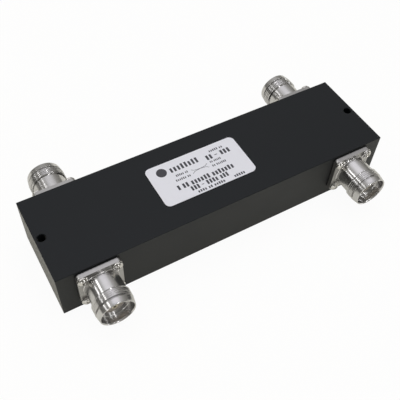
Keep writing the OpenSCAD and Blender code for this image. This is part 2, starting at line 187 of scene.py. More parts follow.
# Camera at the photograph's viewing angle, aimed at a point on the housing's top
CAMERA_AZIMUTH, CAMERA_ELEVATION, CAMERA_ROLL = -32.5, 52.48, 3.37
CAMERA_DISTANCE = 313.5 * MM
CAMERA_AIM = Vector((-14.6, -16.3, 31.2)) * MM
CAMERA_LENS, CAMERA_SENSOR = 55.29, 36
CAMERA_CLIP = (0.01, 20)


# Helpers for nodes and meshes

def linear(code):
    """An sRGB hex colour as linear red, green, blue and alpha."""
    parts = [int(code[i:i + 2], 16) / 255 for i in (1, 3, 5)]
    return [p / 12.92 if p <= 0.04045 else ((p + 0.055) / 1.055) ** 2.4 for p in parts] + [1]


def node(tree, kind, inputs=None, **settings):
    """Adds a node with its settings, and links or sets its inputs."""
    made = tree.nodes.new(kind)
    for name, value in settings.items():
        setattr(made, name, value)
    for name, value in (inputs or {}).items():
        if isinstance(value, bpy.types.NodeSocket):
            tree.links.new(value, made.inputs[name])
        else:
            made.inputs[name].default_value = value
    return made


def material(shader):
    """A material named after the function that makes its surface shader."""
    made = bpy.data.materials.new(shader.__name__)
    made.use_nodes = True
    made.node_tree.nodes.clear()
    surface = shader(made.node_tree)
    node(made.node_tree, "ShaderNodeOutputMaterial", {"Surface": surface.outputs[0]})
    return made


def form_tree(name, sizes):
    """A geometry tree with named inputs, given as {name: kind}, and one geometry output."""
    tree = bpy.data.node_groups.new(name, "GeometryNodeTree")
    for label, kind in sizes.items():
        tree.interface.new_socket(name=label, in_out="INPUT", socket_type="NodeSocket" + kind)
    tree.interface.new_socket(name="Geometry", in_out="OUTPUT", socket_type="NodeSocketGeometry")
    return tree, node(tree, "NodeGroupInput").outputs


def close_tree(tree, geometry, finish):
    """Ends a geometry tree: its instances made real, and its material set."""
    real = node(tree, "GeometryNodeRealizeInstances", {"Geometry": geometry})
    dressed = node(tree, "GeometryNodeSetMaterial", {"Geometry": real.outputs[0], "Material": finish})
    node(tree, "NodeGroupOutput", {"Geometry": dressed.outputs[0]})
    return tree


def placed(name, data):
    """An object in the scene's own collection."""
    made = bpy.data.objects.new(name, data)
    SCENE.collection.objects.link(made)
    return made


def hidden(name, data):
    """An object that only feeds a geometry tree, outside the scene's own collection."""
    return bpy.data.objects.new(name, data)


def settle(carrier):
    """The evaluated mesh of an object, which is removed."""
    graph = bpy.context.evaluated_depsgraph_get()
    mesh = bpy.data.meshes.new_from_object(carrier.evaluated_get(graph), depsgraph=graph)
    carrier.modifiers.clear()
    bpy.data.objects.remove(carrier)
    return mesh


def mesh_of(name, bank):
    """A mesh from a bmesh, which is freed."""
    mesh = bpy.data.meshes.new(name)
    bank.to_mesh(mesh)
    bank.free()
    return mesh


def ease_edges(carrier, width, angle):
    """Rounds the edges that turn by more than an angle in degrees."""
    edge = carrier.modifiers.new("edge", "BEVEL")
    edge.width, edge.segments = width, 2
    edge.limit_method, edge.angle_limit = "ANGLE", math.radians(angle)


def grow(tree, values, edge=None):
    """Runs a geometry tree with these values, and returns what it makes as a plain mesh."""
    carrier = placed(tree.name, bpy.data.meshes.new(tree.name))
    form = carrier.modifiers.new("form", "NODES")
    form.node_group = tree
    for item in tree.interface.items_tree:
        if item.in_out == "INPUT":
            form[item.identifier] = values[item.name]
    if edge:
        ease_edges(carrier, *edge)
    return settle(carrier)


def outline_curve(name, points):
    """A closed flat curve through the points."""
    curve = bpy.data.curves.new(name, "CURVE")
    line = curve.splines.new("POLY")
    line.points.add(len(points) - 1)
    for point, (x, y) in zip(line.points, points):
        point.co = (x, y, 0, 1)
    line.use_cyclic_u = True
    return hidden(name, curve)


def piece(name, parts, replaces):
    """Makes one finished object from (mesh, place, material) parts, riding on the housing's body."""
    whole = bmesh.new()
    finishes = []
    for mesh, place, finish in parts:
        if finish not in finishes:
            finishes.append(finish)
        copy = mesh.copy()
        copy.transform(place)
        for face in copy.polygons:
            face.material_index = finishes.index(finish)
            face.use_smooth = True
        whole.from_mesh(copy)
    bmesh.ops.remove_doubles(whole, verts=whole.verts, dist=MERGE_DISTANCE)
    bmesh.ops.recalc_face_normals(whole, faces=whole.faces)
    data = mesh_of(name, whole)
    for finish in finishes:
        data.materials.append(finish)
    data.set_sharp_from_angle(angle=math.radians(SHARP_ANGLE))
    draft = placed(name, data)
    # At full weight a large flat face stays flat, and only the eased edge beside it shades round
    flat = draft.modifiers.new("flat", "WEIGHTED_NORMAL")
    flat.keep_sharp, flat.weight = True, 100
    made = placed(name, settle(draft))
    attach(made, "root")
    for old in replaces:
        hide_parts(old)


def lathe(outline, steps):
    """A closed solid turned round Z from (radius, height) points that begin and end on the axis."""
    turned = bmesh.new()
    rings = []
    for radius, height in outline:
        turns = 1 if radius == 0 else steps
        angles = [2 * math.pi * i / turns for i in range(turns)]
        rings.append([turned.verts.new((radius * math.cos(a), radius * math.sin(a), height)) for a in angles])
    for low, high in zip(rings, rings[1:]):
        for i in range(steps):
            j = i + 1
            corners = [low[i % len(low)], low[j % len(low)], high[j % len(high)], high[i % len(high)]]
            turned.faces.new(list(dict.fromkeys(corners)))
    return mesh_of("turned", turned)


# Materials

# Satin black baked paint on milled aluminium. It gives a deep, even black with a soft sheen
# that grows at low angles, and a grain so fine that only close views show it.
def satin_black_paint(tree):
    place = node(tree, "ShaderNodeTexCoord").outputs["Object"]
    grain = node(tree, "ShaderNodeTexNoise", {
        "Vector": place, "Scale": 1 / (0.35 * MM), "Detail": 3, "Roughness": 0.6,
    })
    cloud = node(tree, "ShaderNodeTexNoise", {"Vector": place, "Scale": 1 / (18 * MM), "Detail": 2})
    tone = node(tree, "ShaderNodeMix", {
        "Factor": cloud.outputs[0], "A": linear("#0B0F13"), "B": linear("#0F1418"),
    }, data_type="RGBA")
    gloss = node(tree, "ShaderNodeMapRange", {"Value": cloud.outputs[0], "To Min": 0.42, "To Max": 0.5})
    bump = node(tree, "ShaderNodeBump", {"Height": grain.outputs[0], "Strength": 0.12, "Distance": 0.02 * MM})
    return node(tree, "ShaderNodeBsdfPrincipled", {
        "Base Color": tone.outputs["Result"], "Roughness": gloss.outputs[0], "IOR": 1.36,
        "Normal": bump.outputs[0],
        "Sheen Weight": 0.28, "Sheen Roughness": 0.25, "Sheen Tint": linear("#F4F1E0"),
    })


# Bright white bronze plated on turned brass. The plating is nearly a mirror, and the fine rings that the
# tool leaves round the axis smear each reflection along the barrel, so lamps show as long streaks.
def turned_plating(tree):
    place = node(tree, "ShaderNodeTexCoord").outputs["Object"]
    # 4.5 rings to the millimetre, coarser than the tool's real feed so that they show
    rings = node(tree, "ShaderNodeMapping", {"Vector": place, "Scale": (0.06 / MM, 4.5 / MM, 0.06 / MM)})
    marks = node(tree, "ShaderNodeTexNoise", {"Vector": rings.outputs[0], "Scale": 1, "Detail": 2})
    haze =node(tree, "ShaderNodeTexNoise", {"Vector": place, "Scale": 1 / (3 * MM), "Detail": 3})
    tone = node(tree, "ShaderNodeMix", {
        "Factor": haze.outputs[0], "A": linear("#C3C2C2"), "B": linear("#D0CFCF"),
    }, data_type="RGBA")
    gloss = node(tree, "ShaderNodeMapRange", {"Value": haze.outputs[0], "To Min": 0.19, "To Max": 0.24})
    bump = node(tree, "ShaderNodeBump", {"Height": marks.outputs[0], "Strength": 0.15, "Distance": 0.02 * MM})
    around = node(tree, "ShaderNodeTangent", direction_type="RADIAL", axis="Y")
    return node(tree, "ShaderNodeBsdfPrincipled", {
        "Base Color": tone.outputs["Result"], "Metallic": 1, "Roughness": gloss.outputs[0],
        "Normal": bump.outputs[0],
        "Anisotropic": 0.7, "Anisotropic Rotation": 0.25, "Tangent": around.outputs[0],
    })


# The same plating on the milled flange. The cutter's fine grain scatters the light, so it is an even
# satin grey without clear reflections.
def milled_plating(tree):
    place = node(tree, "ShaderNodeTexCoord").outputs["Object"]
    # Cutter strokes 4 mm long and 0.4 mm apart, coarser than real ones so that they show
    strokes = node(tree, "ShaderNodeMapping", {"Vector": place, "Scale": (0.25 / MM, 2.5 / MM, 2.5 / MM)})
    grain = node(tree, "ShaderNodeTexNoise", {
        "Vector": strokes.outputs[0], "Scale": 1, "Detail": 4, "Roughness": 0.7,
    })
    tone = node(tree, "ShaderNodeMix", {
        "Factor": grain.outputs[0], "A": linear("#A3A2A1"), "B": linear("#BBBAB9"),
    }, data_type="RGBA")
    bump = node(tree, "ShaderNodeBump", {"Height": grain.outputs[0], "Strength": 0.25, "Distance": 0.02 * MM})
    return node(tree, "ShaderNodeBsdfPrincipled", {
        "Base Color": tone.outputs["Result"], "Metallic": 1, "Roughness": 0.32, "Normal": bump.outputs[0],
    })


# Cold headed steel screws with bright nickel: smooth domes with sharp small highlights.
def nickel_steel(tree):
    place = node(tree, "ShaderNodeTexCoord").outputs["Object"]
    haze = node(tree, "ShaderNodeTexNoise", {"Vector": place, "Scale": 1 / (0.8 * MM), "Detail": 3})
    tone = node(tree, "ShaderNodeMix", {
        "Factor": haze.outputs[0], "A": linear("#C6C4C1"), "B": linear("#DEDCD9"),
    }, data_type="RGBA")
    gloss = node(tree, "ShaderNodeMapRange", {"Value": haze.outputs[0], "To Min": 0.14, "To Max": 0.26})
    bump = node(tree, "ShaderNodeBump", {"Height": haze.outputs[0], "Strength": 0.08, "Distance": 0.02 * MM})
    return node(tree, "ShaderNodeBsdfPrincipled", {
        "Base Color": tone.outputs["Result"], "Metallic": 1, "Roughness": gloss.outputs[0],
        "Normal": bump.outputs[0],
    })


# Black oxide on steel screws: a thin, slightly oily dark film that a dull metal gleam shows through.
def black_oxide_steel(tree):
    place = node(tree, "ShaderNodeTexCoord").outputs["Object"]
    haze = node(tree, "ShaderNodeTexNoise", {"Vector": place, "Scale": 1 / (0.9 * MM), "Detail": 3})
    tone = node(tree, "ShaderNodeMix", {
        "Factor": haze.outputs[0], "A": linear("#2B2B2D"), "B": linear("#3C3B3A"),
    }, data_type="RGBA")
    bump = node(tree, "ShaderNodeBump", {"Height": haze.outputs[0], "Strength": 0.1, "Distance": 0.02 * MM})
    return node(tree, "ShaderNodeBsdfPrincipled", {
        "Base Color": tone.outputs["Result"], "Metallic": 0.7, "Roughness": 0.38, "Normal": bump.outputs[0],
    })


# Die cut sheet of black silicone elastomer: matt, with a soft dusty grain.
def black_elastomer(tree):
    place = node(tree, "ShaderNodeTexCoord").outputs["Object"]
    grain = node(tree, "ShaderNodeTexNoise", {"Vector": place, "Scale": 1 / (0.4 * MM), "Detail": 4})
    tone = node(tree, "ShaderNodeMix", {
        "Factor": grain.outputs[0], "A": linear("#121212"), "B": linear("#1F1F1F"),
    }, data_type="RGBA")
    bump = node(tree, "ShaderNodeBump", {"Height": grain.outputs[0], "Strength": 0.3, "Distance": 0.03 * MM})
    return node(tree, "ShaderNodeBsdfPrincipled", {
        "Base Color": tone.outputs["Result"], "Roughness": 0.75, "Normal": bump.outputs[0],
    })


# Turned fluoropolymer: a soft waxy white with faint tool rings.
def white_fluoropolymer(tree):
    place = node(tree, "ShaderNodeTexCoord").outputs["Object"]
    # Three rings to the millimetre
    rings = node(tree, "ShaderNodeMapping", {"Vector": place, "Scale": (0.3 / MM, 3 / MM, 0.3 / MM)})
    marks = node(tree, "ShaderNodeTexNoise", {"Vector": rings.outputs[0], "Scale": 1, "Detail": 2})
    tone = node(tree, "ShaderNodeMix", {
        "Factor": marks.outputs[0], "A": linear("#E4E2DB"), "B": linear("#F0EFEA"),
    }, data_type="RGBA")
    bump = node(tree, "ShaderNodeBump", {"Height": marks.outputs[0], "Strength": 0.15, "Distance": 0.02 * MM})
    return node(tree, "ShaderNodeBsdfPrincipled", {
        "Base Color": tone.outputs["Result"], "Roughness": 0.5, "IOR": 1.38, "Normal": bump.outputs[0],
    })


# Moulded tan engineering polymer of the sockets' insulators: opaque and satin, with a slight mould cloud.
def tan_polymer(tree):
    place = node(tree, "ShaderNodeTexCoord").outputs["Object"]
    cloud = node(tree, "ShaderNodeTexNoise", {"Vector": place, "Scale": 1 / (2 * MM), "Detail": 3})
    tone = node(tree, "ShaderNodeMix", {
        "Factor": cloud.outputs[0], "A": linear("#A19A92"), "B": linear("#B0A8A0"),
    }, data_type="RGBA")
    bump = node(tree, "ShaderNodeBump", {"Height": cloud.outputs[0], "Strength": 0.1, "Distance": 0.02 * MM})
    return node(tree, "ShaderNodeBsdfPrincipled", {
        "Base Color": tone.outputs["Result"], "Roughness": 0.42, "Normal": bump.outputs[0],
    })


# Silver plated beryllium bronze of the centre contacts: warm pale metal, lightly toned.
def plated_contact(tree):
    place = node(tree, "ShaderNodeTexCoord").outputs["Object"]
    haze = node(tree, "ShaderNodeTexNoise", {"Vector": place, "Scale": 1 / (1.2 * MM), "Detail": 3})
    tone = node(tree, "ShaderNodeMix", {
        "Factor": haze.outputs[0], "A": linear("#D5CBB4"), "B": linear("#E5DFD0"),
    }, data_type="RGBA")
    gloss = node(tree, "ShaderNodeMapRange", {"Value": haze.outputs[0], "To Min": 0.16, "To Max": 0.28})
    return node(tree, "ShaderNodeBsdfPrincipled", {
        "Base Color": tone.outputs["Result"], "Metallic": 1, "Roughness": gloss.outputs[0],
    })


# Glass reinforced laminate between the lines: cream with the weave of the glass cloth just showing.
def glass_laminate(tree):
    place = node(tree, "ShaderNodeTexCoord").outputs["Object"]
    # A wave repeats each 2 pi / 20 of its scaled length, so the threads are 5.7 mm apart: far coarser than
    # real ones, so that they show
    weave_scale = 1 / (20 * 0.9 * MM)
    warp = node(tree, "ShaderNodeTexWave", {"Vector": place, "Scale": weave_scale}, bands_direction="X")
    weft = node(tree, "ShaderNodeTexWave", {"Vector": place, "Scale": weave_scale}, bands_direction="Y")
    weave = node(tree, "ShaderNodeMath", {
        0: warp.outputs["Fac"], 1: weft.outputs["Fac"],
    }, operation="MULTIPLY")
    tone = node(tree, "ShaderNodeMix", {
        "Factor": weave.outputs[0], "A": linear("#CFC8AC"), "B": linear("#DED8C2"),
    }, data_type="RGBA")
    return node(tree, "ShaderNodeBsdfPrincipled", {"Base Color": tone.outputs["Result"], "Roughness": 0.45})


# Tin plated copper strip: dull silver with faint rolling marks along its length.
def tinned_copper(tree):
    place = node(tree, "ShaderNodeTexCoord").outputs["Object"]
    # 2.2 rolling marks to the millimetre, coarser than real ones so that they show
    rolled = node(tree, "ShaderNodeMapping", {"Vector": place, "Scale": (0.06 / MM, 2.2 / MM, 2.2 / MM)})
    marks = node(tree, "ShaderNodeTexNoise", {"Vector": rolled.outputs[0], "Scale": 1, "Detail": 3})
    tone = node(tree, "ShaderNodeMix", {
        "Factor": marks.outputs[0], "A": linear("#BEBBB2"), "B": linear("#D3D0C8"),
    }, data_type="RGBA")
    return node(tree, "ShaderNodeBsdfPrincipled", {
        "Base Color": tone.outputs["Result"], "Metallic": 1, "Roughness": 0.35,
    })


# Polyester label film with a matt top coat: cool pale grey, even, with a faint pebble.
def label_film(tree):
    place = node(tree, "ShaderNodeTexCoord").outputs["Object"]
    pebble = node(tree, "ShaderNodeTexNoise", {"Vector": place, "Scale": 1 / (0.3 * MM), "Detail": 2})
    tone = node(tree, "ShaderNodeMix", {
        "Factor": pebble.outputs[0], "A": linear("#E4E4E8"), "B": linear("#EAEAEE"),
    }, data_type="RGBA")
    bump = node(tree, "ShaderNodeBump", {
        "Height": pebble.outputs[0], "Strength": 0.08, "Distance": 0.01 * MM,
    })
    return node(tree, "ShaderNodeBsdfPrincipled", {
        "Base Color": tone.outputs["Result"], "Roughness": 0.42, "IOR": 1.45, "Normal": bump.outputs[0],
    })


# Screen printed ink: dark grey and matt, a little uneven where it lies on the film's pebble.
def screen_ink(tree):
    place = node(tree, "ShaderNodeTexCoord").outputs["Object"]
    pebble = node(tree, "ShaderNodeTexNoise", {"Vector": place, "Scale": 1 / (0.25 * MM), "Detail": 2})
    tone = node(tree, "ShaderNodeMix", {
        "Factor": pebble.outputs[0], "A": linear("#2E2E33"), "B": linear("#45454B"),
    }, data_type="RGBA")
    return node(tree, "ShaderNodeBsdfPrincipled", {"Base Color": tone.outputs["Result"], "Roughness": 0.5})


# Matt pale studio table, a little warm. The camera sees it lifted to white with a trace of its shadow.
# From below it is clear, as it is to light from a surface that rests on it, so that the underside shows.
def studio_table(tree):
    place = node(tree, "ShaderNodeTexCoord").outputs["Object"]
    fleck = node(tree, "ShaderNodeTexNoise", {"Vector": place, "Scale": 1 / (40 * MM), "Detail": 2})
    tone = node(tree, "ShaderNodeMix", {
        "Factor": fleck.outputs[0], "A": linear("#EFECE0"), "B": linear("#F3F0E5"),
    }, data_type="RGBA")
    matt = node(tree, "ShaderNodeBsdfDiffuse", {"Color": tone.outputs["Result"]})
    path = node(tree, "ShaderNodeLightPath").outputs
    glow = node(tree, "ShaderNodeMix", {
        "Factor": path["Is Camera Ray"], "A": linear("#F3F2E9"), "B": linear("#FFFFFF"),
    }, data_type="RGBA")
    white = node(tree, "ShaderNodeEmission", {"Color": glow.outputs["Result"], "Strength": 1})
    seen = node(tree, "ShaderNodeMath", {0: path["Is Camera Ray"], 1: TABLE_SEEN}, operation="MULTIPLY")
    mirrored = node(tree, "ShaderNodeMath", {
        0: path["Is Glossy Ray"], 1: path["Is Transmission Ray"],
    }, operation="MAXIMUM")
    lift = node(tree, "ShaderNodeMath", {
        0: mirrored.outputs[0], 1: TABLE_MIRRORED, 2: seen.outputs[0],
    }, operation="MULTIPLY_ADD")
    top = node(tree, "ShaderNodeMixShader", {0: lift.outputs[0], 1: matt.outputs[0], 2: white.outputs[0]})
    below = node(tree, "ShaderNodeNewGeometry").outputs["Backfacing"]
    touching = node(tree, "ShaderNodeMath", {0: path["Ray Length"], 1: TOUCHING}, operation="LESS_THAN")
    through = node(tree, "ShaderNodeMath", {0: below, 1: touching.outputs[0]}, operation="MAXIMUM")
    clear = node(tree, "ShaderNodeBsdfTransparent")
    return node(tree, "ShaderNodeMixShader", {
        0: through.outputs[0], 1: top.outputs[0], 2: clear.outputs[0],
    })


PAINT = material(satin_black_paint)
TURNED = material(turned_plating)
MILLED = material(milled_plating)
NICKEL = material(nickel_steel)
OXIDE = material(black_oxide_steel)
ELASTOMER = material(black_elastomer)
FLUOROPOLYMER = material(white_fluoropolymer)
POLYMER = material(tan_polymer)
CONTACT = material(plated_contact)
LAMINATE = material(glass_laminate)
TINNED = material(tinned_copper)
FILM = material(label_film)
INK = material(screen_ink)
TABLE = material(studio_table)


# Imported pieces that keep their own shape

def dress(name, finish):
    """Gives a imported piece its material."""
    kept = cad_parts[name]
    kept.data.materials.clear()
    kept.data.materials.append(finish)


dress("housing", PAINT)
dress("bottom_cover", PAINT)
dress("cover_gasket", ELASTOMER)
dress("coupler_board", LAMINATE)
for line in ("upper_line", "lower_line"):
    dress(line, TINNED)
for posts in ("upper_posts", "lower_posts"):
    dress(posts, FLUOROPOLYMER)
for port in PORTS:
    # Each flange's gasket is a real black sheet, and it also draws the thin line of painted shade between the
    # flange and the housing
    dress(port + "_gasket", ELASTOMER)
    dress(port + "_insulator", POLYMER)
    dress(port + "_contact", CONTACT)


# Flange: a square plate with round corners, four screw holes and the barrel's seat

def flange_tree():
    tree, size = form_tree("flange_plate", {
        "Width": "Float", "Thickness": "Float", "Corner Radius": "Float", "Screw Pitch": "Float",
        "Screw Hole Radius": "Float", "Seat Radius": "Float", "Finish": "Material",
    })
    square = node(tree, "GeometryNodeCurvePrimitiveQuadrilateral", {
        "Width": size["Width"], "Height": size["Width"],
    })
    outline = node(tree, "GeometryNodeFilletCurve", {
        "Curve": square.outputs[0], "Count": 8, "Radius": size["Corner Radius"],
    }, mode="POLY")
    screw_hole = node(tree, "GeometryNodeCurvePrimitiveCircle", {
        "Resolution": 32, "Radius": size["Screw Hole Radius"],
    })
    corners = node(tree, "GeometryNodeMeshGrid", {
        "Size X": size["Screw Pitch"], "Size Y": size["Screw Pitch"], "Vertices X": 2, "Vertices Y": 2,
    })
    holes = node(tree, "GeometryNodeInstanceOnPoints", {
        "Points": corners.outputs[0], "Instance": screw_hole.outputs[0],
    })
    seat = node(tree, "GeometryNodeCurvePrimitiveCircle", {"Resolution": 96, "Radius": size["Seat Radius"]})
    curves = node(tree, "GeometryNodeJoinGeometry", {"Geometry": outline.outputs[0]})
    tree.links.new(holes.outputs[0], curves.inputs[0])
    tree.links.new(seat.outputs[0], curves.inputs[0])
    flat = node(tree, "GeometryNodeRealizeInstances", {"Geometry": curves.outputs[0]})
    back = node(tree, "GeometryNodeFillCurve", {"Curve": flat.outputs[0]}, mode="NGONS")
    raised = node(tree, "GeometryNodeExtrudeMesh", {
        "Mesh": back.outputs[0], "Offset Scale": size["Thickness"], "Individual": False,
    })
    closed = node(tree, "GeometryNodeJoinGeometry", {"Geometry": raised.outputs[0]})
    turned = node(tree, "GeometryNodeFlipFaces", {"Mesh": back.outputs[0]})
    tree.links.new(turned.outputs[0], closed.inputs[0])
    sewn = node(tree, "GeometryNodeMergeByDistance", {"Geometry": closed.outputs[0], "Distance": 0.001 * MM})
    return close_tree(tree, sewn.outputs[0], size["Finish"])


# Barrel: its half section swept once round the socket's axis

def barrel_tree():
    tree, size = form_tree("turned_barrel", {
        "Section": "Object", "Sweep Radius": "Float", "Edge Radius": "Float", "Steps": "Int",
        "Finish": "Material",
    })
    section = node(tree, "GeometryNodeObjectInfo", {"Object": size["Section"]})
    eased = node(tree, "GeometryNodeFilletCurve", {
        "Curve": section.outputs["Geometry"], "Count": 2, "Radius": size["Edge Radius"], "Limit Radius": True,
    }, mode="POLY")
    path = node(tree, "GeometryNodeCurvePrimitiveCircle", {
        "Resolution": size["Steps"], "Radius": size["Sweep Radius"],
    })
    swept = node(tree, "GeometryNodeCurveToMesh", {
        "Curve": path.outputs[0], "Profile Curve": eased.outputs[0],
    })
    return close_tree(tree, swept.outputs[0], size["Finish"])


def barrel_section():
    """The barrel's half section as (radius, height): outside from back to front, then inside and back."""
    root = THREAD_R - THREAD_DEPTH
    flank = (RIDGE_W - CREST_W) / 2
    start, end = NECK_END + THREAD_LAND, THREAD_END - THREAD_LAND
    quarter = [math.radians(a) for a in FILLET_ANGLES]
    lead = [i / MOUTH_LEAD_STEPS for i in range(MOUTH_LEAD_STEPS + 1)]
    outside = [
        (STEP_R, -SPIGOT_LEN), (SPIGOT_R, -SPIGOT_LEN), (SPIGOT_R, 0), (SEAT_R, 0), (SEAT_R, FLANGE_T),
    ]
    outside += [
        (NECK_R + NECK_FILLET * (1 - math.sin(a)), FLANGE_T + NECK_FILLET * (1 - math.cos(a)))
        for a in quarter
    ]
    outside += [
        (NECK_R, NECK_END), (THREAD_R - THREAD_CHAMFER, NECK_END), (THREAD_R, NECK_END + THREAD_CHAMFER),
        (THREAD_R, start), (root, start + flank), (root, end - flank), (THREAD_R, end),
        (THREAD_R, THREAD_END), (GROOVE_R, THREAD_END), (GROOVE_R, GROOVE_END),
        (COLLAR_R - RIM_CHAMFER, GROOVE_END), (COLLAR_R, GROOVE_END + RIM_CHAMFER),
        (COLLAR_FRONT_R, COLLAR_END), (LIP_R, COLLAR_END),
        (LIP_R, LIP_END - RIM_CHAMFER), (LIP_R - RIM_CHAMFER, LIP_END),
    ]
    inside = [
        (MOUTH_R + MOUTH_CHAMFER * (1 - share) ** 2, LIP_END - MOUTH_LEAD * share) for share in lead
    ]
    inside += [
        (MOUTH_R - MOUTH_FILLET * (1 - math.sin(a)), MOUTH_FLOOR + MOUTH_FILLET * (1 - math.cos(a)))
        for a in reversed(quarter)
    ]
    inside += [(LINE_R, MOUTH_FLOOR), (LINE_R, STEP_END), (STEP_R, STEP_END)]
    return outside + inside


# Thread: a ridge of trapezoid section with eased edges, which climbs a right hand spiral between the
# two plain lands and dies away at both ends

def thread_tree():
    tree, size = form_tree("coupling_thread", {
        "Root Radius": "Float", "Depth": "Float", "Crest Width": "Float", "Foot Width": "Float",
        "Edge Radius": "Float", "Turns": "Float", "Length": "Float", "Finish": "Material",
    })
    spiral = node(tree, "GeometryNodeCurveSpiral", {
        "Resolution": 96, "Rotations": size["Turns"], "Start Radius": size["Root Radius"],
        "End Radius": size["Root Radius"], "Height": size["Length"], "Reverse": True,
    })
    level = node(tree, "GeometryNodeSetCurveNormal", {"Curve": spiral.outputs[0]}, mode="Z_UP")
    ridge = node(tree, "GeometryNodeCurvePrimitiveQuadrilateral", {
        "Bottom Width": size["Foot Width"], "Top Width": size["Crest Width"], "Height": size["Depth"],
        "Offset": 0,
    }, mode="TRAPEZOID")
    eased = node(tree, "GeometryNodeFilletCurve", {
        "Curve": ridge.outputs[0], "Count": 2, "Radius": size["Edge Radius"], "Limit Radius": True,
    }, mode="POLY")
    half_depth = node(tree, "ShaderNodeMath", {0: size["Depth"], 1: 0.5}, operation="MULTIPLY")
    outwards = node(tree, "ShaderNodeCombineXYZ", {"X": half_depth.outputs[0]})
    section = node(tree, "GeometryNodeTransform", {
        "Geometry": eased.outputs[0], "Rotation": Euler((0, 0, -math.pi / 2)),
        "Translation": outwards.outputs[0],
    })
    along = node(tree, "GeometryNodeSplineParameter").outputs["Factor"]
    left = node(tree, "ShaderNodeMath", {0: 1, 1: along}, operation="SUBTRACT")
    nearest = node(tree, "ShaderNodeMath", {0: along, 1: left.outputs[0]}, operation="MINIMUM")
    turns_in = node(tree, "ShaderNodeMath", {0: nearest.outputs[0], 1: size["Turns"]}, operation="MULTIPLY")
    rise = node(tree, "ShaderNodeMath", {
        0: turns_in.outputs[0], 1: THREAD_RISE,
    }, operation="MULTIPLY", use_clamp=True)
    swept = node(tree, "GeometryNodeCurveToMesh", {
        "Curve": level.outputs[0], "Profile Curve": section.outputs[0], "Scale": rise.outputs[0],
        "Fill Caps": True,
    })
    return close_tree(tree, swept.outputs[0], size["Finish"])


# Screws: one master instanced over a grid, each turned by its own angle

def screw_tree():
    tree, size = form_tree("screw_pattern", {
        "Screw": "Object", "Columns": "Int", "Rows": "Int", "Length": "Float", "Width": "Float",
        "Seed": "Int", "Finish": "Material",
    })
    places = node(tree, "GeometryNodeMeshGrid", {
        "Size X": size["Length"], "Size Y": size["Width"],
        "Vertices X": size["Columns"], "Vertices Y": size["Rows"],
    })
    master = node(tree, "GeometryNodeObjectInfo", {"Object": size["Screw"]})
    # Sockets 2 and 3 hold the least and the greatest number
    angle = node(tree, "FunctionNodeRandomValue", {
        "Seed": size["Seed"], 2: 0, 3: 2 * math.pi,
    }, data_type="FLOAT")
    spin = node(tree, "ShaderNodeCombineXYZ", {"Z": angle.outputs[1]})
    spread = node(tree, "GeometryNodeInstanceOnPoints", {
        "Points": places.outputs[0], "Instance": master.outputs["Geometry"], "Rotation": spin.outputs[0],
    })
    return close_tree(tree, spread.outputs[0], size["Finish"])


def cross_recess(depth):
    """The cross shaped plug that a driver's recess is cut with, its mouth at Z = 0."""
    plug = bmesh.new()
    long, short = RECESS_W / 2, RECESS_T / 2
    quarter = [(long, -short), (long, short), (short, short)]
    cross = [Matrix.Rotation(k * math.pi / 2, 2) @ Vector(p) for k in range(4) for p in quarter]
    levels = [(depth, 1), (0, 1), (-depth, RECESS_TAPER)]
    rings = [[plug.verts.new((p.x * share, p.y * share, z)) for p in cross] for z, share in levels]
    tip = plug.verts.new((0, 0, -depth - RECESS_TIP))
    plug.faces.new(rings[0])
    for i in range(len(cross)):
        j = (i + 1) % len(cross)
        for high, low in zip(rings, rings[1:]):
            plug.faces.new((high[i], high[j], low[j], low[i]))
        plug.faces.new((rings[-1][i], rings[-1][j], tip))
    bmesh.ops.recalc_face_normals(plug, faces=plug.faces)
    return mesh_of("recess", plug)


def screw(name, outline, depth):
    """A screw turned from its outline, with the recess cut in the head, whose top is at Z = 0."""
    blank = placed(name, lathe(outline, SCREW_STEPS))
    plug = placed(name + "_recess", cross_recess(depth))
    cut = blank.modifiers.new("cut", "BOOLEAN")
    cut.operation, cut.solver, cut.object = "DIFFERENCE", "EXACT", plug
    ease_edges(blank, SCREW_EDGE, SCREW_EDGE_ANGLE)
    mesh = settle(blank)
    bpy.data.objects.remove(plug)
    return hidden(name, mesh)


def chamfered_end(end):
    """The last points of a screw's outline, at the end of its shank."""
    return [(SCREW_R, end + SCREW_POINT), (SCREW_R - SCREW_POINT, end), (0, end)]


def pan_outline():
    """The outline of a domed flange screw."""
    rise = PAN_HEAD_H - PAN_EDGE_H
    dome_r = (PAN_HEAD_R ** 2 + rise ** 2) / (2 * rise)
    widest = math.asin(PAN_HEAD_R / dome_r)
    angles = [widest * i / DOME_STEPS for i in range(DOME_STEPS + 1)]
    dome = [(dome_r * math.sin(a), dome_r * math.cos(a) - dome_r) for a in angles]
    rim = [(PAN_HEAD_R, -PAN_HEAD_H), (SCREW_R, -PAN_HEAD_H)]
    return dome + rim + chamfered_end(-PAN_HEAD_H - PAN_SCREW_LEN)


def countersunk_outline(length):
    """The outline of a countersunk cover screw."""
    neck = CSK_HEAD_R - SCREW_R
    head = [(0, 0), (CSK_HEAD_R - CSK_RIM, 0), (CSK_HEAD_R, -CSK_RIM), (SCREW_R, -neck)]
    return head + chamfered_end(-length)


FLANGE = grow(flange_tree(), {
    "Width": FLANGE_W, "Thickness": FLANGE_T, "Corner Radius": FLANGE_R, "Screw Pitch": SCREW_PITCH,
    "Screw Hole Radius": SCREW_HOLE_R, "Seat Radius": SEAT_R, "Finish": MILLED,
}, edge=(FLANGE_EDGE, FLANGE_EDGE_ANGLE))
BARREL = grow(barrel_tree(), {
    "Section": outline_curve("barrel_section", [(r - NECK_R, -z) for r, z in barrel_section()]),
    "Sweep Radius": NECK_R, "Edge Radius": EDGE_RADIUS, "Steps": BARREL_STEPS, "Finish": TURNED,
})
THREAD = grow(thread_tree(), {
    "Root Radius": THREAD_R - THREAD_DEPTH - THREAD_SINK, "Depth": THREAD_DEPTH + THREAD_SINK,
    "Crest Width": CREST_W, "Foot Width": RIDGE_W, "Edge Radius": EDGE_RADIUS,
    "Turns": THREAD_LEN / THREAD_PITCH, "Length": THREAD_LEN, "Finish": TURNED,
})
SCREWS = screw_tree()
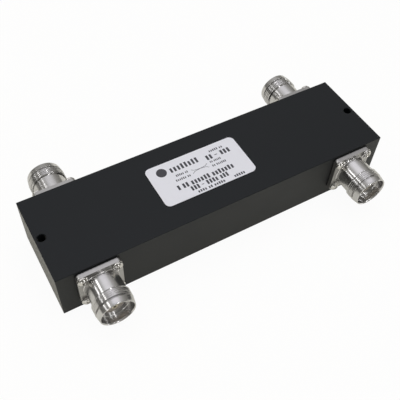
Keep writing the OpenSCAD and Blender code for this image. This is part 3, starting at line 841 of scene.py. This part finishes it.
PAN_SCREW = screw("pan_screw", pan_outline(), PAN_RECESS_DEPTH)


def socket_place(port):
    """Puts a socket's own axes in place: Z along its axis outwards, from the flange's back."""
    low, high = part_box(port + "_socket")
    side = PORTS[port]
    centre = Vector(((low.x + high.x) / 2, side * abs(FLANGE_BACK), (low.z + high.z) / 2))
    spin = Matrix.Rotation(math.pi if side > 0 else 0, 4, "Z")
    return Matrix.Translation(centre) @ spin @ Matrix.Rotation(math.pi / 2, 4, "X")


for seed, port in enumerate(PORTS):
    place = socket_place(port)
    thread_place = place @ Matrix.Translation(UP * THREAD_START)
    piece(port + "_plated_socket", [
        (FLANGE, place, MILLED), (BARREL, place, TURNED), (THREAD, thread_place, TURNED),
    ], [port + "_socket"])
    four = grow(SCREWS, {
        "Screw": PAN_SCREW, "Columns": 2, "Rows": 2, "Length": SCREW_PITCH, "Width": SCREW_PITCH,
        "Seed": seed, "Finish": NICKEL,
    })
    heads = place @ Matrix.Translation(UP * HEAD_TOP)
    piece(port + "_pan_screws", [(four, heads, NICKEL)], [port + "_screws"])


# Cover screws: a grid along the two long sides and one at the two ends, seen from below

def cover_screws():
    low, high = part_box("cover_screws")
    end_x = high.x - CSK_HEAD_R
    row_y = high.y - CSK_HEAD_R
    master = screw("cover_screw", countersunk_outline(high.z - low.z), CSK_RECESS_DEPTH)
    rows = grow(SCREWS, {
        "Screw": master, "Columns": COVER_ROW_SCREWS, "Rows": 2, "Length": 2 * COVER_ROW_X,
        "Width": 2 * row_y, "Seed": COVER_ROW_SEED, "Finish": OXIDE,
    })
    ends = grow(SCREWS, {
        "Screw": master, "Columns": 2, "Rows": 2, "Length": 2 * end_x,
        "Width": 2 * COVER_END_Y, "Seed": COVER_END_SEED, "Finish": OXIDE,
    })
    under = Matrix.Translation(UP * low.z) @ Matrix.Rotation(math.pi, 4, "X")
    piece("countersunk_screws", [
        (rows, under, OXIDE), (ends, under, OXIDE),
    ], ["cover_screws"])


cover_screws()


# Label: a film with round corners and a thin print of plain marks

INK_T = 0.03 * MM
LABEL_R = 3 * MM
ROUND_STEPS = 12
# Disc: its place as shares of the label, and its width
DISC_PLACE = (0.144, 0.206)
DISC_W = 5.8 * MM
# Shares of a cell's length that a bold mark, a plain mark, a dash and the gap between words take
BOLD, PLAIN, DASH_LEN, WORD_GAP = 0.62, 0.56, 0.8, 0.6
# Place of a dash's middle in its cell, and shares of the row's height that a dash and a short mark take
DASH_MIDDLE, DASH_H, SHORT_MARK = 0.43, 0.12, 0.84
MARK_SEED = 11
# Rows of marks: left end, right end and middle as shares of the label, height, weight, and the marks in
# each word, where 0 stands for a dash
PRINT_ROWS = [
    (0.224, 0.545, 0.226, 3.7 * MM, PLAIN, (8,)),
    (0.688, 0.847, 0.149, 1.5 * MM, PLAIN, (5, 2)),
    (0.617, 0.895, 0.281, 3.2 * MM, BOLD, (2, 0, 3)),
    (0.249, 0.383, 0.401, 1.4 * MM, PLAIN, (5, 2)),
    (0.220, 0.385, 0.510, 1.4 * MM, PLAIN, (6, 2)),
    (0.629, 0.756, 0.401, 1.4 * MM, PLAIN, (2, 5)),
    (0.626, 0.786, 0.507, 1.4 * MM, PLAIN, (2, 6)),
    (0.189, 0.817, 0.683, 3.1 * MM, BOLD, (1, 2, 6, 7)),
    (0.301, 0.719, 0.816, 2.9 * MM, BOLD, (3, 0, 4, 3)),
    (0.344, 0.646, 0.936, 1.6 * MM, BOLD, (4, 2, 5)),
    (0.748, 0.873, 0.933, 1.6 * MM, BOLD, (5,)),
]
# Two lines that cross: places of their four points along the label, and down it for the line that falls
CROSSING_W = 0.22 * MM
CROSSING_ALONG = (0.415, 0.44, 0.57, 0.594)
CROSSING_DOWN = (0.402, 0.437, 0.470, 0.508)


def slab(bank, corners, low, high):
    """Adds a flat prism with these corners, given anticlockwise, to a bmesh."""
    top = [bank.verts.new((x, y, high)) for x, y in corners]
    bottom = [bank.verts.new((x, y, low)) for x, y in corners]
    bank.faces.new(top)
    bank.faces.new(bottom[::-1])
    for i in range(len(top)):
        j = (i + 1) % len(top)
        bank.faces.new((bottom[i], bottom[j], top[j], top[i]))


def rounded_corners(x, y, length, width, radius):
    """The corners of a rectangle with round corners, centred on (x, y)."""
    points = []
    for quarter, (sx, sy) in enumerate(((1, 1), (-1, 1), (-1, -1), (1, -1))):
        for i in range(ROUND_STEPS + 1):
            angle = (quarter + i / ROUND_STEPS) * math.pi / 2
            points.append((
                x + sx * (length / 2 - radius) + radius * math.cos(angle),
                y + sy * (width / 2 - radius) + radius * math.sin(angle),
            ))
    return points


def box_corners(x, y, length, width):
    """The corners of a plain rectangle centred on (x, y)."""
    return [(x + a * length / 2, y + b * width / 2) for a, b in ((1, 1), (-1, 1), (-1, -1), (1, -1))]


def stroke_corners(start, end, width):
    """The corners of a straight stroke between two points."""
    along = (end - start).normalized() * width / 2
    side = Vector((-along.y, along.x))
    return [(c.x, c.y) for c in (start - side, end - side, end + side, start + side)]


def label():
    """Makes the film and the print on it."""
    low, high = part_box("label")
    size = high - low
    middle = (low + high) / 2
    film_top = high.z - INK_T
    film = bmesh.new()
    slab(film, rounded_corners(middle.x, middle.y, size.x, size.y, LABEL_R), low.z, film_top)
    piece("label_film_sheet", [(mesh_of("film", film), IN_PLACE, FILM)], ["label"])

    def spot(u, v):
        """A point at shares of the label's length and width from its rear left corner."""
        return Vector((low.x + u * size.x, high.y - v * size.y))

    ink = bmesh.new()
    disc = spot(*DISC_PLACE)
    slab(ink, rounded_corners(disc.x, disc.y, DISC_W, DISC_W, DISC_W / 2), film_top, high.z)
    draw = random.Random(MARK_SEED)
    for left, right, v, height, weight, words in PRINT_ROWS:
        cells = sum(max(marks, 1) for marks in words) + WORD_GAP * (len(words) - 1)
        step = (right - left) * size.x / cells
        start = spot(left, v)
        for marks in words:
            if marks == 0:
                x = start.x + step * DASH_MIDDLE
                slab(ink, box_corners(x, start.y, step * DASH_LEN, height * DASH_H), film_top, high.z)
            for k in range(marks):
                tall = height * draw.choice((1, SHORT_MARK))
                x, y = start.x + (k + 0.5) * step, start.y - (height - tall) / 2
                slab(ink, box_corners(x, y, step * weight, tall), film_top, high.z)
            start.x += (max(marks, 1) + WORD_GAP) * step
    for down in (CROSSING_DOWN, CROSSING_DOWN[::-1]):
        points = [spot(u, v) for u, v in zip(CROSSING_ALONG, down)]
        for start, end in zip(points, points[1:]):
            slab(ink, stroke_corners(start, end, CROSSING_W), film_top, high.z)
    piece("label_print", [(mesh_of("print", ink), IN_PLACE, INK)], [])


label()


# Studio: a pale table, a soft sky, lamps and the camera

def studio_floor():
    """Lays the table."""
    plane = bpy.data.meshes.new("table")
    corners = box_corners(0, 0, 2 * TABLE_HALF, 2 * TABLE_HALF)
    plane.from_pydata([(x, y, TABLE_Z) for x, y in corners], [], [(0, 1, 2, 3)])
    plane.materials.append(TABLE)
    placed("table", plane)


def sky():
    """Soft light from above that falls off to a grey horizon. The camera sees plain white instead."""
    world = bpy.data.worlds.new("studio")
    SCENE.world = world
    world.use_nodes = True
    tree = world.node_tree
    tree.nodes.clear()
    way = node(tree, "ShaderNodeTexCoord").outputs["Generated"]
    height = node(tree, "ShaderNodeVectorMath", {0: way, 1: SKY_MIDDLE}, operation="DOT_PRODUCT")
    ramp = node(tree, "ShaderNodeValToRGB", {"Fac": height.outputs["Value"]})
    while len(ramp.color_ramp.elements) < len(SKY_TONES):
        ramp.color_ramp.elements.new(0.5)
    for element, (place, code) in zip(ramp.color_ramp.elements, SKY_TONES):
        element.position = place
        element.color = linear(code)
    upright = node(tree, "ShaderNodeSeparateXYZ", {0: way})
    below = node(tree, "ShaderNodeMath", {0: upright.outputs["Z"], 1: SKY_BELOW}, operation="LESS_THAN")
    tone = node(tree, "ShaderNodeMix", {
        "Factor": below.outputs[0], "A": ramp.outputs["Color"], "B": linear(SKY_BELOW_TONE),
    }, data_type="RGBA")
    back = node(tree, "ShaderNodeBackground", {"Color": tone.outputs["Result"], "Strength": SKY_STRENGTH})
    white = node(tree, "ShaderNodeBackground", {"Color": linear("#FFFFFF"), "Strength": 1})
    path = node(tree, "ShaderNodeLightPath").outputs
    mirrored = node(tree, "ShaderNodeMath", {
        0: path["Is Glossy Ray"], 1: path["Is Transmission Ray"],
    }, operation="MAXIMUM")
    share = node(tree, "ShaderNodeMath", {
        0: mirrored.outputs[0], 1: SKY_MIRRORED, 2: path["Is Camera Ray"],
    }, operation="MULTIPLY_ADD")
    seen = node(tree, "ShaderNodeMixShader", {0: share.outputs[0], 1: back.outputs[0], 2: white.outputs[0]})
    node(tree, "ShaderNodeOutputWorld", {"Surface": seen.outputs[0]})


def softbox(name, azimuth, elevation, distance, width, length, radiance, code="#FFFFFF"):
    """A rectangular lamp that faces the housing. Azimuth runs from +Y towards +X, in degrees."""
    a, e = math.radians(azimuth), math.radians(elevation)
    away = Vector((math.sin(a) * math.cos(e), math.cos(a) * math.cos(e), math.sin(e)))
    lamp = bpy.data.lights.new(name, "AREA")
    lamp.shape, lamp.size, lamp.size_y = "RECTANGLE", width, length
    lamp.energy = radiance * math.pi * width * length
    lamp.color = linear(code)[:3]
    made = placed(name, lamp)
    tangent = Vector((0, 1, 0)).cross(away).normalized()
    along = away.cross(tangent)
    turn = Matrix((tangent, along, away)).transposed().to_4x4()
    made.matrix_world = Matrix.Translation(away * distance) @ turn
    return made


def camera():
    """Sets the scene's camera."""
    a, e = math.radians(CAMERA_AZIMUTH), math.radians(CAMERA_ELEVATION)
    back = Vector((math.sin(a) * math.cos(e), -math.cos(a) * math.cos(e), math.sin(e)))
    data = bpy.data.cameras.new("camera")
    data.lens, data.sensor_width = CAMERA_LENS, CAMERA_SENSOR
    data.clip_start, data.clip_end = CAMERA_CLIP
    made = placed("camera", data)
    level = (-back).to_track_quat("-Z", "Y").to_matrix().to_4x4()
    roll = Matrix.Rotation(math.radians(CAMERA_ROLL), 4, "Z")
    made.matrix_world = Matrix.Translation(CAMERA_AIM + back * CAMERA_DISTANCE) @ level @ roll
    SCENE.camera = made


studio_floor()
sky()
for lamp in SOFTBOXES:
    softbox(*lamp)
softbox(*FILL).visible_glossy = False
camera()
